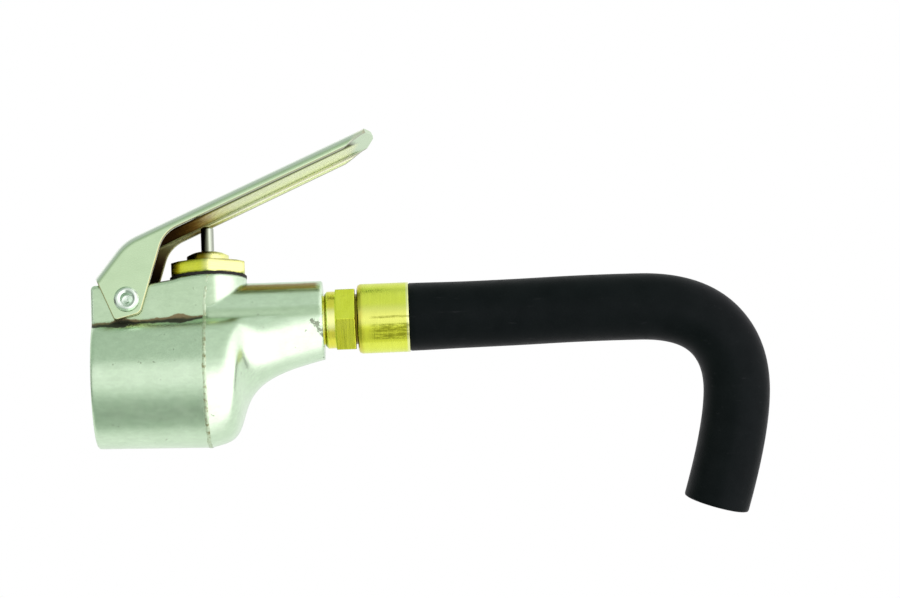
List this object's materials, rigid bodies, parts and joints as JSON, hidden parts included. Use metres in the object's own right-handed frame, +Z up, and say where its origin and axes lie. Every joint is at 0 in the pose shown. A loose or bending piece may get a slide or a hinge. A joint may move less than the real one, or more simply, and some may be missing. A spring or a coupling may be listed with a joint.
{
  "type": "tire inflator valve",
  "caption": "Hand-held tyre inflator valve with a threaded tank socket, a pressed lever on a pivot rivet, a push-pin valve under a gland nut, and a crimped rubber hose.",
  "frame": {"origin": "centre of the tank socket's mouth, on its axis (the stated point is 0.5 mm inside, where its wall begins)", "axes": "+X along the socket's axis from its mouth towards the hose, +Z up to the side that carries the lever, +Y away from the pictured side"},
  "size_m": [0.1606, 0.0373, 0.0943],
  "materials": {
    "nickel_cast": "satin nickel plating on a die casting",
    "nickel_sheet": "satin nickel plating on stamped steel sheet",
    "rivet_steel": "nickel-plated steel rivet",
    "steel": "ground steel",
    "brass": "bright machined brass",
    "brass_tube": "bright drawn and crimped brass",
    "copper": "soft copper gasket",
    "fibre": "black vulcanised fibre",
    "seal_rubber": "moulded nitrile rubber",
    "hose_rubber": "satin black moulded rubber"
  },
  "bodies": {
    "valve": {"valve_body": "nickel_cast", "socket_washer": "seal_rubber", "inlet_screen": "steel", "gland_gasket": "fibre", "gland_nut": "brass", "packing_follower": "brass", "pin_o_ring": "seal_rubber", "seat_gasket": "copper", "valve_seat": "brass", "valve_spring": "steel", "pivot_rivet": "rivet_steel", "hose_stem": "brass", "ferrule": "brass_tube", "hose": "hose_rubber"},
    "handle": {"lever": "nickel_sheet"},
    "stem": {"push_pin": "steel", "poppet_cup": "brass", "poppet_seal": "seal_rubber", "poppet_nut": "brass"}
  },
  "joints": [
    {"name": "lever_press", "type": "hinge", "parent": "valve", "child": "handle", "pos_m": [0.0086, 0, 0.0182], "axis": [0, 1, 0], "range_deg": [0, 11.5], "stiffness_Nm_per_rad": 0.16, "springref_deg": -12.32},
    {"name": "stem_slide", "type": "slide", "parent": "valve", "child": "stem", "axis": [0, 0, -1], "range_m": [0, 0.0028], "deforming": ["valve_spring"]}
  ],
  "couplings": [
    {"joint": "stem_slide", "follows": "lever_press", "m_per_rad": 0.01395}
  ]
}
